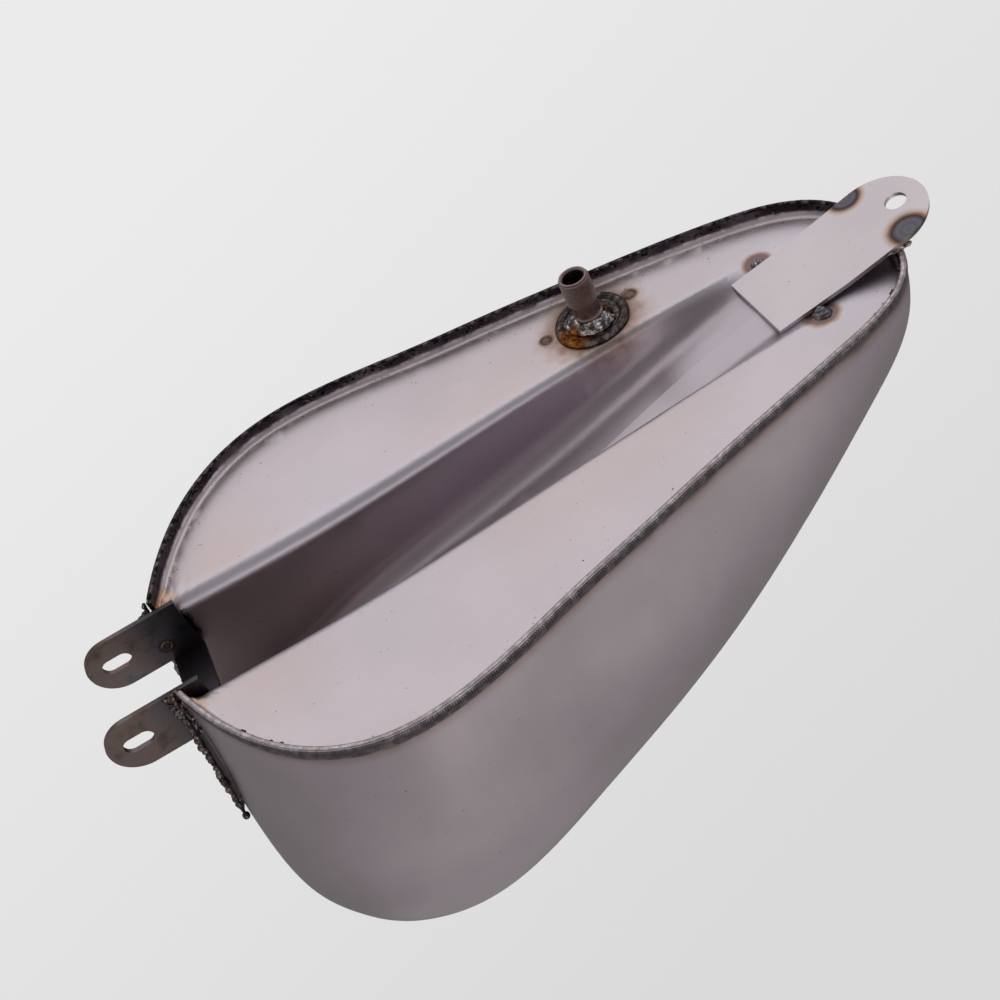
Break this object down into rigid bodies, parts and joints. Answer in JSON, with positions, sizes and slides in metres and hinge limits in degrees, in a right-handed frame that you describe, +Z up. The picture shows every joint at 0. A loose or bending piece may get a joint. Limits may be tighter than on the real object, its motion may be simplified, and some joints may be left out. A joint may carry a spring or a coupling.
{
  "type": "motorcycle fuel tank",
  "caption": "Teardrop fuel tank of bare welded sheet steel with a frame tunnel, front tabs, rear tongue, fuel spigot and a vented screw cap.",
  "frame": {"origin": "middle of the front mounting axis, which runs across the tank through the slots of both front tabs", "axes": "+X forwards along the tank, +Y to the rider's left, +Z up; the frame tunnel opens downwards"},
  "size_m": [0.5265, 0.2804, 0.2723],
  "materials": {
    "bare_steel_pan": "bare rolled sheet with heat tint",
    "bare_steel_side": "bare rolled sheet",
    "dark_steel": "hot-rolled scale with heat tint and rust",
    "weld_metal": "as welded",
    "cap_metal": "turned",
    "plated_steel": "zinc plated",
    "rubber": "matt"
  },
  "bodies": {
    "tank": {"shell_left": "bare_steel_side", "shell_right": "bare_steel_side", "bottom_pan": "bare_steel_pan", "front_bracket": "dark_steel", "tongue_plate": "bare_steel_pan", "fuel_spigot": "dark_steel", "spigot_boss": "dark_steel", "spigot_weld": "weld_metal", "spigot_backing_plate": "bare_steel_pan", "filler_neck": "dark_steel", "neck_weld": "weld_metal", "mouth_weld_bead": "weld_metal", "bracket_welds": "weld_metal", "tongue_welds": "weld_metal"},
    "seal": {"cap_gasket": "rubber"},
    "cap": {"cap_cover": "cap_metal", "cap_plug": "cap_metal", "cap_screws": "plated_steel", "vent_retainer": "plated_steel"},
    "valve": {"vent_valve": "rubber", "vent_spring": "plated_steel"}
  },
  "joints": [
    {"name": "cap_rise", "type": "slide", "parent": "tank", "child": "seal", "axis": [0, 0, 1], "range_m": [0, 0.0075]},
    {"name": "cap_turn", "type": "hinge", "parent": "seal", "child": "cap", "pos_m": [-0.127, 0, 0.2033], "axis": [0, 0, 1], "range_deg": [0, 900]},
    {"name": "vent_lift", "type": "slide", "parent": "cap", "child": "valve", "axis": [0, 0, -1], "range_m": [0, 0.001], "stiffness_N_per_m": 30, "springref_m": -0.001}
  ],
  "couplings": [
    {"joint": "cap_rise", "follows": "cap_turn", "m_per_rad": 0.00047746}
  ]
}
